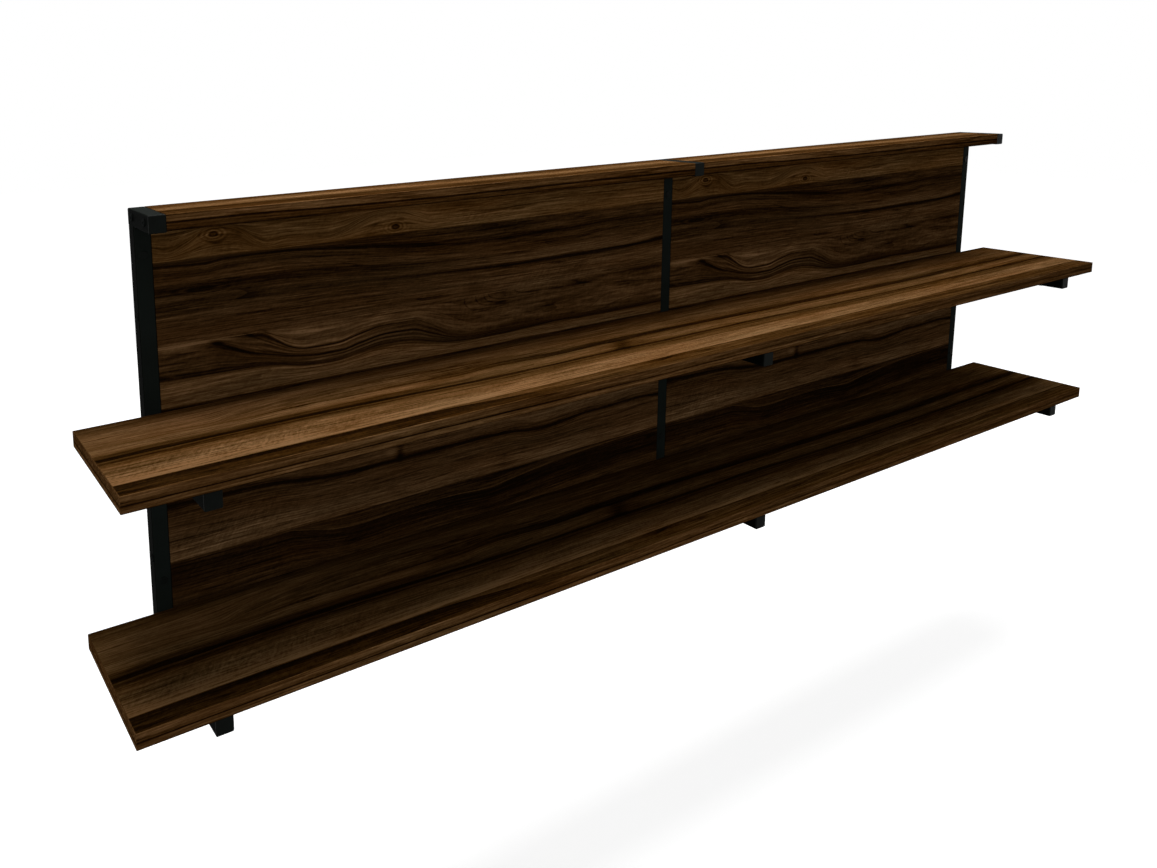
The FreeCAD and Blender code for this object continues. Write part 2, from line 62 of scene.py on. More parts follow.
# The figures of the walnut, in millimetres along the board from its left end and across it from its back
# or top edge, which is its level. Each has a length, a height and, of these keys, the ones that it needs:
# guides: lines that the grain follows. First the line's level on a board whose grain is straightened, then
#     its real level, as one number or as points along the board.
# left, right: the tone by straightened level towards the two ends, 0 dark and 1 light.
# lower_left, lower_right: the same from the level "split" down.
# blend: from where to where along the board the left tones turn into the right ones.
# rich: how much stronger the colour is by straightened level, from 0 to 1.
# knots: place, level, length, height, how dark and pinched the core is, strength of the rings.
# marks: dark spots, light where the strength is below 0. Place, level, length, height, lean, sag, strength.
# arcs: lines that leave a joint upright and bend into the grain. Place, joint, drop, bend, strength.
# nests: close lines beside a wave. Place, straightened level, length, height, spacing, strength.
# ripples: places with ripple across the grain. Place, level, length, height, strength.
PANEL_FIGURE = {
    "length": PANEL_LENGTH,
    "height": PANEL_HEIGHT,
    "guides": [
        (0, 0),
        (13, 13),
        (40, [(0, 50), (24, 55), (60, 42), (90, 24), (112, 19), (140, 20), (165, 30), (190, 50), (215, 60),
              (260, 56), (330, 58), (370, 52), (410, 36), (450, 24), (500, 22), (540, 33), (580, 46),
              (640, 45), (760, 42), (1000, 40), (1230, 40)]),
        (68, 68),
        (92, [(0, 76), (90, 79), (132, 74), (240, 73), (312, 77), (396, 84), (504, 94), (612, 101),
              (720, 103), (960, 100), (1056, 96), (1230, 96)]),
        (156, [(0, 146), (120, 144), (300, 145), (396, 147), (528, 156), (624, 159), (840, 164.5),
               (960, 163), (1080, 160), (1152, 157), (1230, 152)]),
        (220, 220),
        (244, [(0, 219), (150, 219), (190, 220), (206, 226), (228, 240), (258, 258), (282, 265), (348, 266),
               (408, 254), (468, 247), (528, 247), (564, 258), (612, 282), (648, 294), (720, 299),
               (1230, 300)]),
        (262, [(0, 224), (100, 225), (120, 231), (156, 246), (204, 262), (276, 278), (324, 283), (360, 283),
               (408, 274), (468, 265), (528, 266), (576, 282), (624, 298), (672, 304), (1230, 305)]),
        (286, [(0, 278), (72, 281), (144, 282), (192, 283), (228, 288), (288, 298), (324, 300), (360, 299),
               (408, 292), (444, 287), (480, 286), (528, 289), (576, 299), (624, 307), (672, 311),
               (768, 312), (912, 307), (1032, 310), (1230, 307)]),
        (297, [(0, 288), (144, 289), (216, 292), (288, 303), (348, 305), (396, 300), (444, 295), (504, 297),
               (576, 307), (648, 315), (912, 313), (1230, 313)]),
        (333, 333),
        (410, 410),
        (535, [(0, 514), (72, 516), (120, 516), (204, 518), (276, 528), (324, 533), (396, 536), (492, 536),
               (672, 536), (744, 538), (792, 540), (828, 546), (876, 548), (924, 545), (996, 539),
               (1080, 538), (1152, 536), (1230, 540)]),
        (623, 623),
        (645, [(0, 624), (236, 624), (264, 630), (288, 636), (348, 649), (396, 652), (504, 648), (624, 649),
               (720, 655), (780, 649), (912, 636), (1020, 629), (1230, 624)]),
        (PANEL_HEIGHT, PANEL_HEIGHT),
    ],
    "left": [
        (0, 0.5), (3, 0.14), (8, 0.18), (11, 0.6), (67.6, 0.74), (68.4, 0.28), (86, 0.3), (90, 0.06),
        (93, 0.05), (96, 0.42), (106, 0.26), (112, 0.52), (122, 0.48), (130, 0.22), (150, 0.44), (156, 0.28),
        (170, 0.44), (219.5, 0.52), (220, 0.72), (243, 0.68), (246, 0.1), (250, 0.54), (261, 0.48),
        (264, 0.06), (268, 0.44), (284, 0.42), (287, 0.03), (291, 0.46), (298, 0.74), (330, 0.78),
        (333, 0.24), (345, 0.54),
    ],
    "right": [
        (0, 0.5), (3, 0.16), (8, 0.24), (11, 0.62), (60, 0.76), (67.6, 0.76), (68.4, 0.36), (84, 0.46),
        (89, 0.34), (92, 0.12), (99, 0.36), (128, 0.52), (148, 0.66), (152, 0.52), (153.6, 0.12),
        (156, 0.05), (159, 0.12), (163, 0.44), (176, 0.58), (219.5, 0.56), (220, 0.46), (228, 0.5),
        (240, 0.6), (243, 0.44), (262, 0.26), (284, 0.2), (287, 0.07), (292, 0.34), (299, 0.68),
        (330, 0.72), (333, 0.24), (345, 0.46),
    ],
    "lower_left": [
        (345, 0.5), (409, 0.5), (410, 0.6), (470, 0.5), (520, 0.5), (530, 0.34), (534, 0.06), (538, 0.06),
        (542, 0.42), (560, 0.48), (585, 0.52), (600, 0.64), (622.4, 0.64), (623, 0.26), (643, 0.3),
        (645, 0.42), (647, 0.16), (662, 0.14), (684, 0.26), (700, 0.4), (716, 0.34), (768, 0.42),
    ],
    "lower_right": [
        (345, 0.42), (409, 0.5), (410, 0.56), (470, 0.52), (520, 0.6), (531, 0.42), (534.5, 0.04),
        (538, 0.07), (542, 0.5), (560, 0.44), (580, 0.46), (596, 0.64), (622.4, 0.68), (623, 0.22),
        (643, 0.36), (645, 0.5), (647, 0.16), (672, 0.12), (694, 0.24), (710, 0.44), (724, 0.32),
        (768, 0.4),
    ],
    "split": 345,
    "rich": [(0, 0.8), (66, 0.8), (70, 0.15), (284, 0.15), (298, 0.4), (332, 0.35), (346, 0.0)],
    "blend": (380, 760),
    "knots": [
        (112, 28, 17, 9, 0.4, 0.26), (490, 54, 17, 9, 0.5, 0.24), (84, 124, 50, 9, 0.34, 0.1),
    ],
    "marks": [
        (112, 27, 8, 4, 0, 0, 0.62), (116, 44, 20, 3, 0, 7, 0.6), (118, 18, 30, 2.4, 0, -8, 0.25),
        (158, 30, 15, 8, 0.2, 0, 0.4), (490, 53, 11, 6, 0, 0, 0.75), (502, 40, 13, 4, -0.1, -4, 0.4),
        (524, 49, 14, 3, 0.2, 0, 0.4), (444, 44, 14, 3, -0.2, 0, 0.25), (140, 54, 4, 12, 0, 0, 0.14),
        (126, 57, 3, 9, 0, 0, 0.12),
        (95, 221, 78, 4.5, 0, 0, -0.5), (20, 228, 70, 9, 0, 0, -0.7), (110, 227, 15, 4.5, 0.15, 0, 0.85),
        (146, 244, 36, 3.4, 0.48, 0, 0.4), (58, 231, 46, 5, 0.02, 0, -0.5),
        (492, 522, 8, 18, -0.2, 0, 0.5), (472, 514, 12, 12, 0, 0, -0.25), (1000, 222, 300, 5, 0, 0, 0.12),
        (172, 223, 7, 3, 0.4, 0, 0.5), (206, 223, 8, 3, 0.4, 0, 0.55), (212, 243, 38, 1.8, 0.5, 0, 0.45),
        (350, 272, 44, 2.2, -0.05, 0, -0.35), (312, 293, 22, 2.6, 0, 0, -0.35),
        (400, 262, 56, 1.6, -0.24, 0, -0.35), (984, 74, 28, 4, 0, 0, 0.25), (676, 200, 18, 15, 0, 0, 0.2),
        (985, 230.5, 46, 5, 0, 0, 0.75), (700, 232, 50, 10, 0, 0, -0.25),
        (1160, 219, 84, 7, -0.04, 0, 0.6), (1120, 155, 160, 4, -0.02, 0, -0.25),
    ],
    "arcs": [
        (654, 219.5, 31, 13, 0.34), (683, 219.5, 27, 19, 0.36), (705, 219.5, 22.5, 17, 0.34),
        (717, 219.5, 18, 26, 0.34), (787, 219.5, 13, 26, 0.36),
    ],
    "nests": [(430, 276, 200, 20, 9.5, 0.2), (720, 292, 420, 14, 7.6, 0.14), (300, 246, 90, 12, 8, 0.12)],
    "ripples": [(120, 590, 130, 34, 0.4), (675, 52, 36, 14, 0.3), (880, 195, 170, 26, 0.25)],
}

SHELF_FIGURE = {
    "length": SHELF_LENGTH,
    "height": SHELF_DEPTH,
    "guides": [
        (0, 0),
        (40, [(0, 47), (160, 39), (320, 29), (520, 26), (900, 34), (1400, 38), (2100, 46), (2800, 40)]),
        (80, [(0, 84), (120, 88), (200, 94), (250, 81), (300, 71), (400, 58), (520, 52), (760, 62),
              (1100, 74), (1500, 80), (2000, 88), (2800, 80)]),
        (104, [(0, 103), (130, 102), (230, 106), (360, 105), (520, 108), (700, 110), (800, 102), (880, 106),
               (950, 112), (1100, 107), (1400, 109), (1600, 112), (1800, 117), (2000, 122), (2200, 123),
               (2500, 116), (2800, 112)]),
        (158, [(0, 153), (150, 151), (300, 150), (400, 151), (500, 155), (600, 160), (700, 165), (850, 168),
               (1070, 167), (1150, 170), (1400, 170), (1700, 175), (2000, 180), (2300, 178), (2800, 174)]),
        (253, 253),
        (270, [(0, 255), (530, 255), (600, 258), (680, 267), (760, 275), (850, 281), (1100, 283),
               (1500, 279), (2000, 272), (2400, 276), (2800, 280)]),
        (SHELF_DEPTH, SHELF_DEPTH),
    ],
    "left": [
        (0, 0.46), (30, 0.58), (38, 0.64), (40, 0.8), (44, 0.68), (76, 0.7), (80, 0.46), (86, 0.64),
        (101, 0.6), (104, 0.42), (107, 0.78), (128, 0.82), (136, 0.52), (150, 0.4), (155, 0.08),
        (161, 0.08), (165, 0.46), (171, 0.3), (178, 0.6), (200, 0.76), (210, 0.62), (216, 0.84),
        (250, 0.96), (252.6, 0.96), (253.2, 0.52), (262, 0.6), (266, 0.44), (269.4, 0.1), (275, 0.16),
        (283, 0.36), (288, 0.24), (293, 0.34),
    ],
    "right": [
        (0, 0.4), (30, 0.5), (36, 0.62), (60, 0.6), (74, 0.68), (96, 0.6), (99, 0.42), (103, 0.22),
        (113, 0.2), (118, 0.56), (134, 0.72), (150, 0.64), (155, 0.26), (160, 0.2), (164, 0.5),
        (170, 0.34), (176, 0.56), (190, 0.6), (200, 0.84), (250, 0.92), (252.6, 0.9), (253.4, 0.3),
        (257, 0.56), (262, 0.5), (268, 0.42), (271, 0.36), (276, 0.56), (284, 0.4), (293, 0.46),
    ],
    "blend": (520, 960),
    "knots": [(380, 103, 24, 8, 0.24, 0.1)],
    "marks": [
        (382, 102, 16, 4, -0.15, 0, 0.22), (416, 106, 26, 4, 0, 0, -0.24), (404, 118, 22, 6, 0, 0, -0.2),
        (1132, 122, 24, 8, 0, 0, 0.3), (1122, 136, 24, 9, 0, 0, 0.46), (1108, 150, 24, 9, 0, 0, 0.56),
        # The lightening mark at 100 along and 70 across is painted light: the back of the shelf's left end,
        # which reaches out past the top board, made lighter.
        (1102, 163, 28, 7, 0, 0, 0.4), (100, 70, 260, 42, 0, 0, -0.3),
        (1160, 148, 50, 14, 0, 0, 0.2), (2100, 225, 700, 34, 0, 0, 0.2),
    ],
    "nests": [(900, 200, 900, 40, 7.5, 0.05)],
    "ripples": [(180, 215, 260, 30, 0.66), (900, 220, 420, 26, 0.24), (2100, 215, 500, 30, 0.18)],
}

TOP_FIGURE = {
    "length": PANEL_LENGTH,
    "height": TOP_DEPTH,
    "guides": [
        (0, 0),
        (80, [(0, 80), (260, 76), (520, 84), (800, 88), (1040, 82), (1230, 80)]),
        (TOP_DEPTH, TOP_DEPTH),
    ],
    "left": [
        (0, 0.52), (24, 0.56), (48, 0.84), (60, 0.9), (68, 0.74), (74, 0.56), (88, 0.3), (94, 0.46),
        (104, 0.4), (112, 0.52), (120, 0.52),
    ],
    "right": [
        (0, 0.48), (30, 0.54), (46, 0.8), (62, 0.88), (72, 0.66), (90, 0.36), (98, 0.5), (120, 0.54),
    ],
    "blend": (400, 900),
    "ripples": [(600, 40, 500, 40, 0.2)],
}

TOP_EDGE_FIGURE = {
    "length": PANEL_LENGTH,
    "height": BOARD,
    "guides": [
        (0, 0),
        (15.5, [(0, 14), (140, 13.5), (300, 16.5), (520, 18), (760, 17), (1000, 15.5), (1230, 15.5)]),
        (BOARD, BOARD),
    ],
    # In these tones the light line at the top edge, 0 to 1 mm, is a painted highlight, and the fall to dark
    # at the bottom edge, from 26 mm down, is painted shade.
    "left": [
        (0, 0.9), (1, 0.54), (5, 0.68), (8, 0.66), (12.4, 0.7), (14, 0.14), (16.4, 0.1), (17.6, 0.54),
        (20.6, 0.34), (23, 0.42), (26, 0.28), (28, 0.05),
    ],
    "right": [
        (0, 0.86), (1, 0.54), (5, 0.68), (10, 0.66), (12, 0.62), (14, 0.18), (16.6, 0.12), (18, 0.5),
        (23, 0.4), (26, 0.24), (28, 0.05),
    ],
    "blend": (300, 900),
}

SHELF_EDGE_FIGURE = {
    "length": SHELF_LENGTH,
    "height": BOARD,
    "guides": [
        (0, 0),
        (15.5, [(0, 15.6), (500, 15.8), (1000, 17), (1400, 14.5), (2000, 15), (2800, 15)]),
        (BOARD, BOARD),
    ],
    # In these tones the fall to dark at the bottom edge, from 27 mm down, is painted shade.
    "left": [
        (0, 0.62), (6, 0.54), (13, 0.56), (14.6, 0.4), (15.2, 0.1), (16.2, 0.12), (17.2, 0.58), (20, 0.68),
        (24, 0.74), (26.4, 0.62), (27.4, 0.16), (28, 0.1),
    ],
    "right": [
        (0, 0.6), (8, 0.56), (13, 0.5), (15, 0.32), (16.4, 0.44), (19, 0.64), (25, 0.66), (27.2, 0.3),
        (28, 0.12),
    ],
    "blend": (1000, 1900),
    # These two marks lighten the top of the front edge towards the left end: painted light where the open
    # end is lit.
    "marks": [(30, 4, 90, 5, 0, 0, -0.3), (380, 5, 420, 6, 0, 0, -0.22)],
}

# The walnut's colours, from its darkest streaks to its lightest wood, as sRGB 0 to 255.
WALNUT = [
    (0.0, (16, 8, 2)), (0.15, (32, 18, 6)), (0.35, (55, 35, 15)),
    (0.55, (76, 52, 29)), (0.75, (98, 71, 44)), (1.0, (128, 96, 66)),
]

# The wood's noises. "along", "across" and "into" are the waves' lengths in millimetres, "slant" tips them
# over, "step" keeps them apart from each other, and the rest is what the noise node takes.
NOISES = {
    "waver": {"along": 260, "across": 90, "step": 0, "detail": 1.0},
    "wobble": {"along": 34, "across": 9, "step": 1},
    "drift": {"along": 420, "across": 30, "step": 3},
    "year_swell": {"along": 620, "across": 42, "step": 5},
    "year_patch": {"along": 380, "across": 24, "step": 6},
    "season_swell": {"along": 540, "across": 30, "step": 8},
    "season_patch": {"along": 260, "across": 16, "step": 13},
    "vein": {"along": 760, "across": 19, "step": 9, "detail": 1.0},
    "broad": {"along": 480, "across": 15, "into": 20, "step": 0, "detail": 3.0, "roughness": 0.6},
    "streak": {"along": 170, "across": 4.4, "into": 9, "step": 7, "detail": 3.0, "roughness": 0.62,
               "distortion": 0.4},
    "fine": {"along": 52, "across": 1.9, "into": 3, "step": 11, "detail": 3.0, "roughness": 0.65},
    "pore": {"along": 13, "across": 0.8, "into": 2, "step": 17, "detail": 1.0},
    "hair": {"along": 120, "across": 2.9, "into": 5, "step": 19, "roughness": 0.7},
    "fleck": {"along": 8, "across": 4.5, "slant": 7, "step": 21, "distortion": 0.8},
    "ripple": {"along": 6, "across": 13, "slant": 9, "step": 23, "distortion": 0.6},
    "lean": {"along": 340, "across": 44, "step": 31},
    "smear": {"along": 60, "across": 40, "into": 40, "step": 41, "detail": 3.0},
}

# How the wood is drawn: shares of a size, strengths and, where it says so, millimetres. The pairs of patches
# and pores, and LEAN_SPAN, are levels of a noise.
WAVER = 0.006
NARROWEST_GRAIN_MM = 0.5
KNOT_BEND, KNOT_BEND_LENGTH = 0.85, 1.5
KNOT_CORE_LENGTH, KNOT_CORE_HEIGHT = 0.45, 0.5
KNOT_RINGS, KNOT_RINGS_REACH, KNOT_RINGS_WOBBLE = 11.0, 1.3, 0.3
ARC_START_MM, ARC_WIDTH_MM, ARC_LENGTH = 0.3, 1.6, 7.0
YEAR_MM, YEAR_SWELL, YEAR_EARLY, YEAR_PATCHES, YEAR_DARK = 9.5, 7.0, 0.35, (0.4, 0.62), 0.2
SEASON_MM, SEASON_SWELL, SEASON_PATCHES, SEASON_DARK = 4.3, 6.0, (0.36, 0.6), 0.13
VEIN_WIDTH, VEIN_DARK = 0.012, 0.2
NEST_WOBBLE = 0.9
BROAD, STREAK, FINE, HAIR = 0.7, 0.8, 1.1, 0.9
GRAIN_WITH_TONE, GRAIN_ANYWHERE = 0.75, 0.3
RIPPLE_ANYWHERE = 0.1
FLECK_WITH_RIPPLE, FLECK_ANYWHERE = 0.3, 0.2
PORES, PORE_DARK, PORE_ROUGH, PORE_DEEP = (0.56, 0.72), 0.12, 0.12, 0.8
MARK_DARK = 0.62
LEAN_SPAN, LEAN_RICHNESS, RICHEST = (0.3, 0.7), 0.06, 0.1
WOOD_ROUGHNESS, WOOD_SMEAR = 0.54, 0.16
WOOD_RELIEF_M, WOOD_RELIEF = 0.00012, 0.7

# The hue of a board's reddest and of its yellowest patches, where 0.5 changes nothing, and the strength of
# its colour.
HUES, RICHNESS = (0.495, 0.503), 1.08
PANEL_HUES, PANEL_RICHNESS = (0.499, 0.506), 1.02
# The two shelves are the same walnut; the lower shelf's hues, a little further to yellow, are a painted tint
# of the shade it lies in.
SHELF_HUES_WITH_PAINTED_SHADE = {"mid": (0.496, 0.504), "lower": (0.5, 0.508)}

# The shelves' end faces: how much painted light lightens them, and how far along X a face looks to be one of
# them.
END_PAINTED_LIGHT = 0.1
END_FACING = 0.7


def linear(srgb):
    """One sRGB channel, 0 to 255, as linear light."""
    share = srgb / 255
    return share / 12.92 if share <= 0.04045 else ((share + 0.055) / 1.055) ** 2.4


def colour(red, green, blue):
    return (linear(red), linear(green), linear(blue), 1.0)


class Wire:
    """A value in a material, so that formulas of nodes read as formulas."""

    def __init__(self, paper, socket):
        self.paper = paper
        self.socket = socket

    def __add__(self, other):
        return self.paper.math("ADD", self, other)

    def __sub__(self, other):
        return self.paper.math("SUBTRACT", self, other)

    def __rsub__(self, other):
        return self.paper.math("SUBTRACT", other, self)

    def __mul__(self, other):
        return self.paper.math("MULTIPLY", self, other)

    def __truediv__(self, other):
        return self.paper.math("DIVIDE", self, other)

    __radd__ = __add__


class Paper:
    """One material and the calls that draw its nodes."""

    def __init__(self, name):
        self.material = bpy.data.materials.new(name)
        self.material.use_nodes = True
        self.tree = self.material.node_tree
        self.tree.nodes.clear()
        self.shader = self.tree.nodes.new("ShaderNodeBsdfPrincipled")
        output = self.tree.nodes.new("ShaderNodeOutputMaterial")
        self.tree.links.new(self.shader.outputs["BSDF"], output.inputs["Surface"])
        self.spot = [wire * (1 / MM) for wire in self.coordinates("Object")]

    def put(self, socket, value):
        if isinstance(value, Wire):
            self.tree.links.new(value.socket, socket)
        else:
            socket.default_value = value

    def set(self, name, value):
        self.put(self.shader.inputs[name], value)

    def math(self, operation, first, second=0.0):
        node = self.tree.nodes.new("ShaderNodeMath")
        node.operation = operation
        self.put(node.inputs[0], first)
        self.put(node.inputs[1], second)
        return Wire(self, node.outputs[0])

    def coordinates(self, kind):
        """The object's own place in metres, or its surface's normal, as three wires."""
        where = self.tree.nodes.new("ShaderNodeTexCoord")
        split = self.tree.nodes.new("ShaderNodeSeparateXYZ")
        self.tree.links.new(where.outputs[kind], split.inputs[0])
        return [Wire(self, out) for out in split.outputs]

    def noise(self, x, y, z, detail=2.0, roughness=0.5, distortion=0.0):
        """Noise from 0 to 1 round 0.5, one wave to each unit of x, y and z."""
        corner = self.tree.nodes.new("ShaderNodeCombineXYZ")
        for socket, value in zip(corner.inputs, (x, y, z)):
            self.put(socket, value)
        node = self.tree.nodes.new("ShaderNodeTexNoise")
        self.tree.links.new(corner.outputs[0], node.inputs["Vector"])
        node.inputs["Scale"].default_value = 1.0
        node.inputs["Detail"].default_value = detail
        node.inputs["Roughness"].default_value = roughness
        node.inputs["Distortion"].default_value = distortion
        return Wire(self, node.outputs["Fac"])

    def lumps(self, size, detail=2.0):
        """Noise whose lumps have one size, in millimetres."""
        x, y, z = self.spot
        return self.noise(x / size, y / size, z / size, detail)

    def between(self, value, low, high, start=0.0, end=1.0, smooth=False):
        """The value's place between two levels, held at start and end outside them."""
        node = self.tree.nodes.new("ShaderNodeMapRange")
        node.interpolation_type = "SMOOTHSTEP" if smooth else "LINEAR"
        settings = {"Value": value, "From Min": low, "From Max": high, "To Min": start, "To Max": end}
        for name, setting in settings.items():
            self.put(node.inputs[name], setting)
        return Wire(self, node.outputs[0])

    def curve(self, value, points, width, height):
        """A smooth line through the points, read at the value."""
        node = self.tree.nodes.new("ShaderNodeFloatCurve")
        self.put(node.inputs["Value"], value / width)
        line = node.mapping.curves[0]
        for x, y in points[1:-1]:
            line.points.new(x / width, y / height)
        line.points[0].location = (points[0][0] / width, points[0][1] / height)
        line.points[-1].location = (points[-1][0] / width, points[-1][1] / height)
        for point in line.points:
            point.handle_type = "AUTO_CLAMPED"
        node.mapping.update()
        return Wire(self, node.outputs[0]) * height

    def ramp(self, value, stops):
        """A colour by value, from 0 to 1. Stops hold a grey or an sRGB colour."""
        node = self.tree.nodes.new("ShaderNodeValToRGB")
        self.put(node.inputs[0], value)
        points = node.color_ramp.elements
        while len(points) < len(stops):
            points.new(1.0)
        for point, (at, shade) in zip(points, stops):
            point.position = at
            point.color = colour(*shade) if isinstance(shade, tuple) else (shade, shade, shade, 1.0)
        return Wire(self, node.outputs[0])

    def mix(self, share, first, second):
        """A number between the first and the second."""
        node = self.tree.nodes.new("ShaderNodeMix")
        self.put(node.inputs["Factor"], share)
        self.put(node.inputs["A"], first)
        self.put(node.inputs["B"], second)
        return Wire(self, node.outputs["Result"])

    def bell(self, x, y, long, high):
        """1 where x and y are 0, fading to 0 around that spot."""
        far = x * x * (1 / long ** 2) + y * y * (1 / high ** 2)
        return self.math("EXPONENT", far * -1.0)

    def bump(self, height, distance, strength):
        node = self.tree.nodes.new("ShaderNodeBump")
        node.inputs["Distance"].default_value = distance
        node.inputs["Strength"].default_value = strength
        self.put(node.inputs["Height"], height)
        self.tree.links.new(node.outputs["Normal"], self.shader.inputs["Normal"])


class Wood(Paper):
    """Wood with a figure. u runs along the board, v across it and w into it, in millimetres."""

    def __init__(self, name, figure, place_on, seed):
        super().__init__(name)
        self.figure = figure
        self.seed = seed
        self.u, self.v, self.w = place_on(self, *self.spot)
        self.v = self.v + self.wave("waver", self.v) * (figure["height"] * WAVER)
        self.wobble = self.wave("wobble", self.v)

    def wave(self, kind, level, middle=0.5):
        """One of the wood's noises, round 0, or from 0 to 1 where middle is 0."""
        own = dict(NOISES[kind])
        along = self.u / own.pop("along")
        across = level / own.pop("across")
        deep = self.seed + own.pop("step")
        if "slant" in own:
            along = along + level / own.pop("slant")
        if "into" in own:
            deep = self.w / own.pop("into") + deep
        noise = self.noise(along, across, deep, **own)
        return noise - middle if middle else noise

    def marks(self):
        """How dark the marks make each place."""
        shade = 0.0
        for at, level, long, high, lean, sag, dark in self.figure.get("marks", []):
            du = self.u - at
            dv = self.v - level - du * lean + du * du * (sag / long ** 2)
            shade = self.bell(du, dv, long, high) * dark + shade
        return shade

    def knots(self):
        """The level once the grain parts round each knot, the dark cores, and the rings round them."""
        bent, shade, rings = self.v, 0.0, 0.0
        for at, level, long, high, core, ringed in self.figure.get("knots", []):
            du, dv = self.u - at, self.v - level
            near = self.bell(du, dv, long * KNOT_BEND_LENGTH, high)
            bent = bent - dv * near * (KNOT_BEND * core)
            shade = self.bell(du, dv, long * KNOT_CORE_LENGTH, high * KNOT_CORE_HEIGHT) * core + shade
            reach = self.math("SQRT", du * du * (1 / long ** 2) + dv * dv * (1 / high ** 2))
            reach = reach + self.wobble * KNOT_RINGS_WOBBLE
            around = self.bell(du, dv, long * KNOT_RINGS_REACH, high * KNOT_RINGS_REACH)
            rings = self.math("SINE", reach * KNOT_RINGS) * around * ringed + rings
        return bent, shade, rings

    def arcs(self):
        """How dark the arcs make each place. Each leaves its joint upright and bends into the grain."""
        shade = 0.0
        for at, joint, drop, bend, dark in self.figure.get("arcs", []):
            run = self.math("MAXIMUM", self.u - at, ARC_START_MM)
            fall = self.math("EXPONENT", run * (-1 / bend))
            rest = self.math("SQRT", 1.0 - fall)
            slope = fall / rest * (0.5 * drop / bend)
            away = (self.v - joint - rest * drop) / self.math("SQRT", slope * slope + 1.0)
            below = self.math("GREATER_THAN", self.v, joint)
            beyond = self.math("GREATER_THAN", self.u, at)
            line = self.bell(away, run, ARC_WIDTH_MM, ARC_LENGTH * bend)
            shade = line * (below * beyond) * dark + shade
        return shade

    def straightened(self, bent):
        """The level of each place once the grain between the guides is straight."""
        length, height = self.figure["length"], self.figure["height"]
        guides = []
        for flat, line in self.figure["guides"]:
            real = self.curve(self.u, line, length, height) if isinstance(line, list) else line
            guides.append((flat, real))
        level = guides[0][0]
        for (low_flat, low), (high_flat, high) in zip(guides, guides[1:]):
            gap = high - low
            if isinstance(gap, Wire):
                gap = self.math("MAXIMUM", gap, NARROWEST_GRAIN_MM)
            level = self.between(bent - low, 0.0, gap, 0.0, high_flat - low_flat) + level
        return level

    def profile(self, level, key):
        """What the figure's list gives at a level."""
        height = self.figure["height"]
        return self.ramp(level / height, [(at / height, tone) for at, tone in self.figure[key]])

    def tone_across(self, level):
        """The tone at a level, from the figure's two ends."""
        start, end = self.figure["blend"]
        drift = self.wave("drift", level)
        share = self.between(self.u + drift * (end - start), start, end, smooth=True)
        tone = self.mix(share, self.profile(level, "left"), self.profile(level, "right"))
        if "split" in self.figure:
            lower = self.mix(share, self.profile(level, "lower_left"), self.profile(level, "lower_right"))
            tone = self.mix(self.math("GREATER_THAN", level, self.figure["split"]), tone, lower)
        return tone

    def years(self, level):
        """How dark the year rings make a level. Each darkens slowly and ends at a crisp edge, in wide rings
        and in narrow ones, and there are a few thin dark veins."""
        year = self.math("FRACT", level / YEAR_MM + self.wave("year_swell", level, 0) * YEAR_SWELL)
        late = self.between(year, YEAR_EARLY, 1.0)
        patch = self.between(self.wave("year_patch", level, 0), *YEAR_PATCHES)
        dark = late * late * patch * YEAR_DARK
        season = self.math("FRACT", level / SEASON_MM + self.wave("season_swell", level, 0) * SEASON_SWELL)
        patch = self.between(self.wave("season_patch", level, 0), *SEASON_PATCHES)
        dark = season * season * patch * SEASON_DARK + dark
        vein = self.math("ABSOLUTE", self.wave("vein", level))
        return self.between(vein, 0.0, VEIN_WIDTH, 1.0, 0.0) * VEIN_DARK + dark

    def nests(self, level):
        """The close lines that run beside a wave."""
        lines = 0.0
        for at, middle, long, high, spacing, much in self.figure.get("nests", []):
            line = self.math("SINE", level * (math.tau / spacing) + self.wobble * NEST_WOBBLE)
            lines = line * self.bell(self.u - at, level - middle, long, high) * much + lines
        return lines

    def rippled(self, level):
        """The ripple across the grain, and the flecks."""
        strength = RIPPLE_ANYWHERE
        for at, middle, long, high, much in self.figure.get("ripples", []):
            strength = self.bell(self.u - at, self.v - middle, long, high) * much + strength
        flecks = self.wave("fleck", level) * (strength * FLECK_WITH_RIPPLE + FLECK_ANYWHERE)
        return self.wave("ripple", level) * strength + flecks

    def tint(self, base, level, hues, richness):
        """The colour, where one patch of the board leans to red and the next to yellow."""
        node = self.tree.nodes.new("ShaderNodeHueSaturation")
        lean = self.wave("lean", level, 0)
        rich = self.between(lean, *LEAN_SPAN, richness, richness - LEAN_RICHNESS)
        if "rich" in self.figure:
            rich = rich + self.profile(level, "rich") * RICHEST
        self.put(node.inputs["Hue"], self.between(lean, *LEAN_SPAN, *hues))
        self.put(node.inputs["Saturation"], rich)
        self.put(node.inputs["Color"], base)
        return Wire(self, node.outputs[0])


